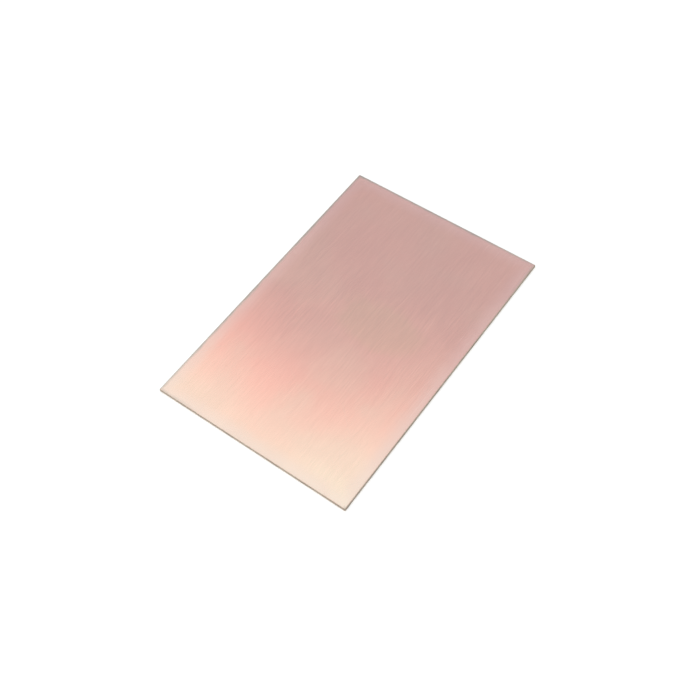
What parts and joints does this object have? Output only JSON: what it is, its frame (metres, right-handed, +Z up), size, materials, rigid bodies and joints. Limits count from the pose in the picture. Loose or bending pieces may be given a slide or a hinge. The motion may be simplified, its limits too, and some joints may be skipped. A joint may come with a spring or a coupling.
{
  "type": "copper clad board",
  "caption": "Flat rectangular circuit board blank: copper foil bonded over one whole face of a glass-epoxy core, with plain deburred edges.",
  "frame": {"origin": "middle of the bare underside, on the surface that the board lies on", "axes": "+X across the width, +Y along the length, +Z up out of the copper face"},
  "size_m": [0.1, 0.15, 0.0015],
  "materials": {
    "copper": "satin",
    "glass_epoxy": "satin"
  },
  "bodies": {
    "root": {"copper_foil": "copper", "glass_epoxy_core": "glass_epoxy"}
  },
  "joints": []
}
